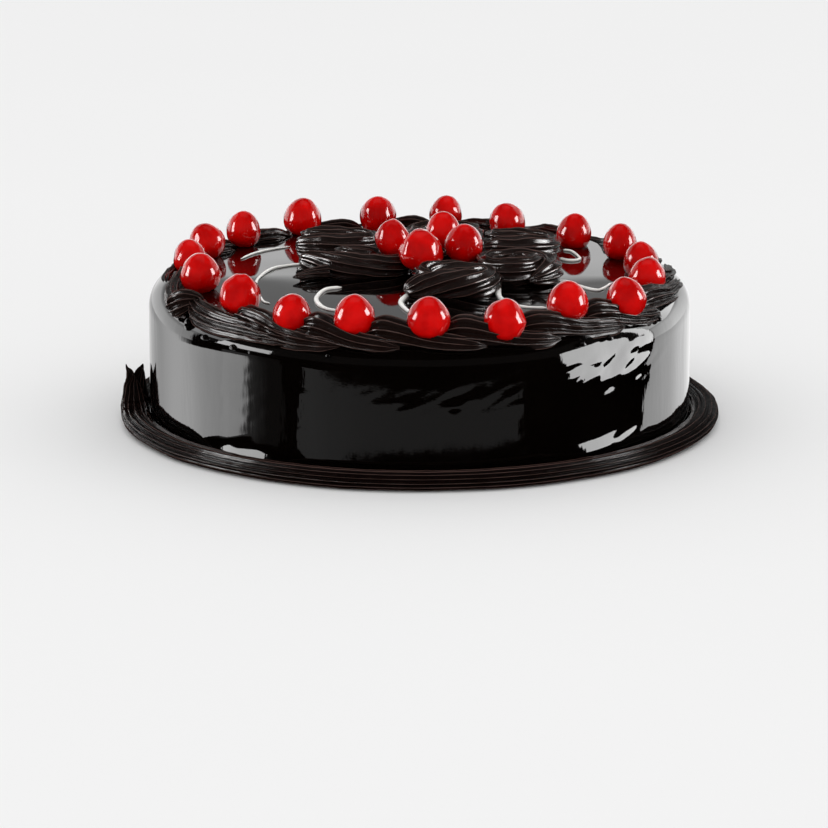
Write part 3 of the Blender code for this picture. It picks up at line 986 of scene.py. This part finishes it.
class Cards:
    """Glowing cards round the cake, which only the gloss of the given pieces sees."""

    def __init__(self, spread=1.0):
        """Spread keeps the cards of one set clear of the other sets'."""
        self.points, self.faces, self.glow = [], [], []
        self.spread = spread

    def add(self, way, reach, low, high, strength, distance=CARD_DISTANCE, steps=12, levels=6):
        """Part of a drum, from one way to another and from one height to another.

        Strength is a number, or a function of the shares of the way and of the height.
        """
        start = len(self.points)
        away = distance * self.spread
        for i in range(steps + 1):
            turn = math.radians(way + (reach - way) * i / steps)
            for j in range(levels + 1):
                up = j / levels
                height = low + (high - low) * up
                self.points.append((away * math.sin(turn), -away * math.cos(turn), height))
                self.glow.append(strength(i / steps, up) if callable(strength) else strength)
        for i in range(steps):
            for j in range(levels):
                a = start + i * (levels + 1) + j
                b = a + levels + 1
                self.faces.append((a, b, b + 1, a + 1))

    def backdrop(self, low, share=1.0):
        self.add(*BACK, low, EDGE_LOW, BACKDROP_GLOW * share, steps=24, levels=1)
        self.add(*BACK, EDGE_LOW, EDGE_HIGH, lambda t, up: backdrop_edge(t, up) * share,
                 steps=72, levels=12)
        self.add(*BACK, EDGE_HIGH, CARD_TOP, BACKDROP_HIGH_GLOW * share, steps=24, levels=1)

    def overhead(self, strength):
        start = len(self.points)
        (left, right), (front, back) = OVERHEAD_SIDES, OVERHEAD_BACK
        for x, y in ((left, front), (right, front), (right, back), (left, back)):
            self.points.append((x, y, OVERHEAD_HIGH * self.spread))
            self.glow.append(strength)
        self.faces.append((start, start + 1, start + 2, start + 3))

    def finish(self, name, material, *pieces):
        item = new_mesh(name, self.points, faces=self.faces, values={"glow": self.glow})
        item.data.materials.append(material)
        item.visible_camera = False
        item.visible_diffuse = False
        item.visible_shadow = False
        item.visible_transmission = False
        lit = bpy.data.collections.new("lit_by_" + name)
        for piece in pieces:
            lit.objects.link(piece)
        item.light_linking.receiver_collection = lit


def card_material():
    material = bpy.data.materials.new("card_glow")
    material.use_nodes = True
    material.node_tree.nodes.clear()
    g = Graph(material.node_tree)
    shine = g.add("ShaderNodeEmission", {}, {"Strength": g.attribute("glow")})
    clear = g.add("ShaderNodeBsdfTransparent")
    both = g.add("ShaderNodeAddShader", {}, {0: shine, 1: clear})
    g.add("ShaderNodeOutputMaterial", {}, {"Surface": both})
    return material


def light_glaze(material, *pieces):
    """What the mirror glaze shows: a bright backdrop, lights at the sides and a dim room in front."""
    cards = Cards()
    # low on the left, from the side round to the back: what the wall shows there
    cards.add(-107, -180, -1.6, HORIZON,
              lambda t, up: (0.9 + 2.45 * (1.0 - ease(t, 0.0, 0.55))) * ease(t, 0.0, 0.18), steps=42)
    # its near edge
    cards.add(-66, -110, -0.30, -0.026,
              lambda t, up: 3.35 * ease(t, 0.0, 0.10) * (1.0 - ease(t, 0.70, 1.0)),
              distance=NEAR_CARD, steps=48)
    # low on the right, behind
    cards.add(109, 180, -1.6, HORIZON, lambda t, up: 0.85 + 2.0 * (1.0 - t))
    # dim room beside the window
    cards.add(-90, -55, -1.2, -0.10, lambda t, up: 0.06 + 0.30 * (1.0 - ease(t, 0.3, 0.8)))
    cards.backdrop(HORIZON)
    # high lights at both sides, which reach round to the back, and what fills in below them
    cards.add(-94, -175, EDGE_HIGH, CARD_TOP, fade(2.2, 0.5, 1.0))
    cards.add(106, 175, EDGE_HIGH, CARD_TOP, fade(4.0, 0.5, 1.0))
    cards.add(-106, -160, HORIZON, EDGE_HIGH, fade(1.0, 0.3, 1.0))
    cards.add(106, 160, HORIZON, EDGE_HIGH, fade(2.4, 0.3, 1.0))
    # tall lights on both sides
    cards.add(-58, -94, 0.18, 0.50, 8.0)
    cards.add(66, 98, -0.13, 0.28, 9.0)
    cards.add(98, 106, -0.13, CARD_TOP, 9.0)
    # faint window, low in front
    cards.add(-43, 38, -0.055, -0.030, lambda t, up: 0.25 + 0.17 * (1.0 - t) ** 4, distance=NEAR_CARD)
    # dim room in front, above the cake
    cards.add(-100, 100, 0.25, CARD_TOP, 0.05, distance=FAR_CARD)
    cards.overhead(0.35)
    cards.finish("cards_for_glaze", material, *pieces)


def light_foot(material, *pieces):
    cards = Cards(1.04)
    cards.backdrop(0.0, 0.08)
    cards.add(-100, -165, 0.0, 0.22, 1.0)
    cards.add(-74, -88, 0.05, 0.9, 10.0)
    cards.add(78, 88, 0.05, 0.9, 8.0)
    cards.finish("cards_for_foot", material, *pieces)


def light_cream(name, material, spread, near, side_glow, *pieces):
    """Lights for piped cream, with tall ones at the sides from the given way to just past the side."""
    cards = Cards(spread)
    cards.backdrop(0.0, 0.35)
    cards.add(-100, -165, 0.0, 0.22, 1.2)
    cards.add(-near, -94, 0.05, 0.9, side_glow)
    cards.add(near, 94, 0.05, 0.9, side_glow)
    cards.add(109, 150, 0.0, 0.22, 0.4)
    cards.add(-60, 60, 0.02, CARD_TOP, 0.04, distance=FAR_CARD)
    cards.overhead(0.25)
    cards.finish(name, material, *pieces)


def light_fruit(material, *pieces):
    cards = Cards(1.12)
    cards.backdrop(HORIZON)
    cards.add(-74, -94, 0.12, 0.8, 9.0)
    cards.add(74, 98, 0.12, 0.8, 10.0)
    cards.add(-60, 60, 0.25, CARD_TOP, 0.02, distance=FAR_CARD)
    cards.overhead(0.12)
    cards.finish("cards_for_fruit", material, *pieces)


LAMP_SIZE = 1.6
LAMP_POWER = 4.0
LAMPS = {"key": (-1.6, -0.6, 2.2), "fill": (1.8, 0.2, 2.2)}


def build_lamps():
    """Two soft lamps, which the gloss doesn't see."""
    for name, place in LAMPS.items():
        lamp = bpy.data.lights.new(name, "AREA")
        lamp.shape = "SQUARE"
        lamp.size = LAMP_SIZE
        lamp.energy = LAMP_POWER
        item = bpy.data.objects.new(name, lamp)
        bpy.context.scene.collection.objects.link(item)
        item.location = place
        item.rotation_euler = (CAMERA_AIM - Vector(place)).to_track_quat("-Z", "Y").to_euler()
        item.visible_glossy = False


def build_world():
    """An even white room, which the gloss doesn't see."""
    world = bpy.data.worlds.new("studio")
    bpy.context.scene.world = world
    world.use_nodes = True
    background = world.node_tree.nodes["Background"]
    background.inputs["Color"].default_value = (1.0, 1.0, 1.0, 1.0)
    background.inputs["Strength"].default_value = 1.0
    world.cycles_visibility.glossy = False


def build_camera():
    camera = bpy.data.cameras.new("camera")
    camera.lens = CAMERA_LENS
    camera.sensor_width = SENSOR
    item = bpy.data.objects.new("camera", camera)
    bpy.context.scene.collection.objects.link(item)
    rise = math.radians(CAMERA_RISE_DEG)
    item.location = CAMERA_AIM + CAMERA_DISTANCE * Vector((0.0, -math.cos(rise), math.sin(rise)))
    item.rotation_euler = (math.pi / 2 - rise, 0.0, 0.0)
    bpy.context.scene.camera = item


# ---------------------------------------------------------------- making

glaze = glaze_material()
piping = piping_material("truffle_cream", 0.85, 0.85)
# a darker copy of the same cream for the foot's bead: painted shade, since little light reaches it
# there
shaded_foot_piping = piping_material("truffle_cream_foot", 0.55, 0.80)
cherry = cherry_material()
chocolate = chocolate_material()

body = build_body(glaze)
rope = rope_tree()
bead = build_bead(rope, shaded_foot_piping)
border = build_border(rope, piping)
rosettes = build_rosettes(rope, piping)
dollop = build_dollop(rope, piping)
egg = cherry_tree()
ring = build_cherries("ring_cherries", RING_CHERRIES, egg, cherry)
middle = build_cherries("centre_cherries", CENTRE_CHERRIES, egg, cherry)
lines = build_lines(line_tree(), chocolate)
drips = build_drips(egg, glaze)

for piece, slot, nodes in (
    (body, "glaze", ["cake"]),
    (bead, "piping", ["base_bead"]),
    (border, "piping", ["top_border"]),
    (rosettes, "piping", ROSETTES),
    (dollop, "piping", ["centre_dollop"]),
    (ring, "cherry", RING_CHERRIES),
    (middle, "cherry", CENTRE_CHERRIES),
    (lines, "white_chocolate", []),
    (drips, "glaze", []),
):
    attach(piece, "root")
    if nodes:
        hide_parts(*nodes)

build_floor()
glow = card_material()
light_glaze(glow, body, lines, drips)
light_foot(glow, bead)
light_cream("cards_for_border", glow, 1.08, 71, 11.0, border)
light_cream("cards_for_rosettes", glow, 1.16, 52, 22.0, rosettes, dollop)
light_fruit(glow, ring, middle)
build_lamps()
build_world()
build_camera()
bpy.context.scene.view_settings.view_transform = "Standard"
